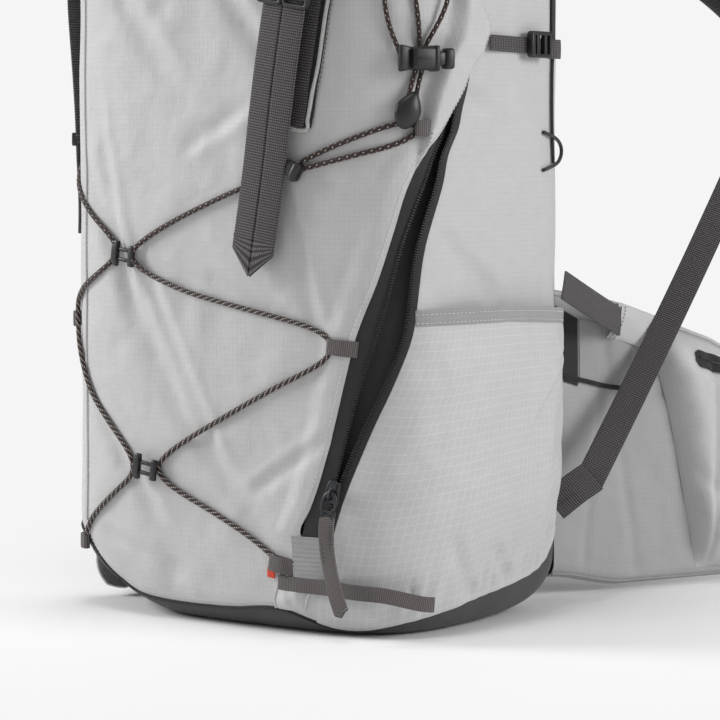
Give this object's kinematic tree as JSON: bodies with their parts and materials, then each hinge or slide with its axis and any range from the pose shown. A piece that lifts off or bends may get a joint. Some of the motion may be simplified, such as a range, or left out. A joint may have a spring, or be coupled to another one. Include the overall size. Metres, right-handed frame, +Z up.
{
  "type": "hiking backpack",
  "caption": "Soft hiking backpack with hinged lid, open curved front zip, laced shock cord, side pockets, shoulder harness and padded hip belt.",
  "frame": {"origin": "on the floor under the middle of the bag", "axes": "+Z up, -Y out of the bag's front, +Y towards the wearer, +X to the right seen from the front"},
  "size_m": [0.5238, 0.6003, 0.548],
  "materials": {
    "shell_fabric": "light grey ripstop nylon",
    "base_fabric": "charcoal coated nylon",
    "back_fabric": "dark grey woven nylon",
    "pad_mesh": "black spacer mesh over foam",
    "webbing": "ribbed grey-brown webbing",
    "tape": "narrow grosgrain tape",
    "zip_tape": "coated zip tape and coil",
    "cord": "braided shock cord with flecks",
    "thin_cord": "thin black braided cord",
    "black_plastic": "satin black acetal",
    "zip_metal": "dark enamelled zinc"
  },
  "bodies": {
    "pack": {"front_panel": "shell_fabric", "side_panel_left": "shell_fabric", "side_panel_right": "shell_fabric", "back_panel": "back_fabric", "base_panel": "base_fabric", "collar": "shell_fabric", "back_pad": "pad_mesh", "lumbar_pad": "pad_mesh", "haul_loop": "webbing", "side_pocket_left": "shell_fabric", "side_pocket_right": "shell_fabric", "front_zip_tapes": "zip_tape", "bungee_right": "cord", "bungee_left": "cord", "bungee_adjuster": "cord", "drawcord": "cord", "side_cord_loops": "thin_cord", "bungee_fittings": "black_plastic", "tape_loops": "tape", "cord_end_grip": "black_plastic", "strap_anchor_webbing": "webbing", "compression_straps": "webbing", "compression_ladder_locks": "black_plastic", "side_tail_webbing": "webbing", "webbing_anchor_tabs": "webbing", "stabilizer_webbings": "webbing"},
    "lid": {"lid_cover": "shell_fabric", "lid_zip": "zip_tape", "front_ladder_locks": "black_plastic", "lid_webbing": "webbing"},
    "lid_slider": {"lid_zip_slider": "zip_metal"},
    "front_strap": {"strap_tail": "webbing"},
    "slider": {"zip_slider": "zip_metal"},
    "puller": {"zip_puller": "tape"},
    "cord_lock": {"cord_lock_body": "black_plastic"},
    "cord_lock_push": {"cord_lock_button": "black_plastic"},
    "shoulder_right": {"shoulder_strap_right": "pad_mesh", "strap_ladder_lock_right": "black_plastic", "shoulder_webbing_right": "webbing", "load_lifter_right": "webbing"},
    "sternum_right": {"sternum_slider_right": "black_plastic", "sternum_webbing_right": "webbing", "sternum_socket": "black_plastic"},
    "belt_right": {"belt_wing_right": "shell_fabric", "belt_pocket_right": "shell_fabric", "belt_webbing_right": "webbing", "belt_socket": "black_plastic"},
    "belt_slider_right": {"belt_zip_slider_right": "zip_metal"},
    "shoulder_left": {"shoulder_strap_left": "pad_mesh", "strap_ladder_lock_left": "black_plastic", "shoulder_webbing_left": "webbing", "load_lifter_left": "webbing"},
    "sternum_left": {"sternum_slider_left": "black_plastic", "sternum_webbing_left": "webbing", "sternum_plug": "black_plastic"},
    "belt_left": {"belt_wing_left": "shell_fabric", "belt_pocket_left": "shell_fabric", "belt_webbing_left": "webbing", "belt_plug": "black_plastic"},
    "belt_slider_left": {"belt_zip_slider_left": "zip_metal"}
  },
  "joints": [
    {"name": "lid_hinge", "type": "hinge", "parent": "pack", "child": "lid", "pos_m": [0, 0.1195, 0.443], "axis": [-1, 0, 0], "range_deg": [0, 60]},
    {"name": "lid_zip_slide", "type": "slide", "parent": "lid", "child": "lid_slider", "axis": [-1, 0, 0], "range_m": [0, 0.15]},
    {"name": "front_strap_swing", "type": "hinge", "parent": "lid", "child": "front_strap", "pos_m": [0.062, -0.119, 0.394], "axis": [-0.9877, 0, 0.1564], "range_deg": [0, 45]},
    {"name": "zip_slide", "type": "slide", "parent": "pack", "child": "slider", "axis": [0.2718, 0.0587, 0.9606], "range_m": [-0.012, 0.02]},
    {"name": "puller_swing", "type": "hinge", "parent": "slider", "child": "puller", "pos_m": [0.09595, -0.11395, 0.09304], "axis": [-0.9392, -0.2016, 0.278], "range_deg": [0, 100]},
    {"name": "cord_lock_slide", "type": "slide", "parent": "pack", "child": "cord_lock", "axis": [0, 0, 1], "range_m": [-0.003, 0.003]},
    {"name": "cord_lock_press", "type": "slide", "parent": "cord_lock", "child": "cord_lock_push", "axis": [-0.3916, -0.9201, 0], "range_m": [0, 0.003], "stiffness_N_per_m": 400, "springref_m": -0.001},
    {"name": "shoulder_swing_right", "type": "hinge", "parent": "pack", "child": "shoulder_right", "pos_m": [0.145, 0.112, 0.084], "axis": [0.2776, -0.0187, -0.9605], "range_deg": [-2, 5]},
    {"name": "sternum_slide_right", "type": "slide", "parent": "shoulder_right", "child": "sternum_right", "axis": [-0.4782, -0.1313, 0.8684], "range_m": [-0.012, 0.012]},
    {"name": "belt_swing_right", "type": "hinge", "parent": "pack", "child": "belt_right", "pos_m": [0.099, 0.127, 0.1], "axis": [0, 0, -1], "range_deg": [-30, 4]},
    {"name": "belt_zip_slide_right", "type": "slide", "parent": "belt_right", "child": "belt_slider_right", "axis": [-0.36, -0.933, 0], "range_m": [0, 0.02]},
    {"name": "shoulder_swing_left", "type": "hinge", "parent": "pack", "child": "shoulder_left", "pos_m": [-0.145, 0.112, 0.084], "axis": [0.2776, 0.0187, 0.9605], "range_deg": [-2, 5]},
    {"name": "sternum_slide_left", "type": "slide", "parent": "shoulder_left", "child": "sternum_left", "axis": [0.4782, -0.1313, 0.8684], "range_m": [-0.012, 0.012]},
    {"name": "belt_swing_left", "type": "hinge", "parent": "pack", "child": "belt_left", "pos_m": [-0.099, 0.127, 0.1], "axis": [0, 0, 1], "range_deg": [-30, 4]},
    {"name": "belt_zip_slide_left", "type": "slide", "parent": "belt_left", "child": "belt_slider_left", "axis": [0.36, -0.933, 0], "range_m": [0, 0.02]}
  ]
}
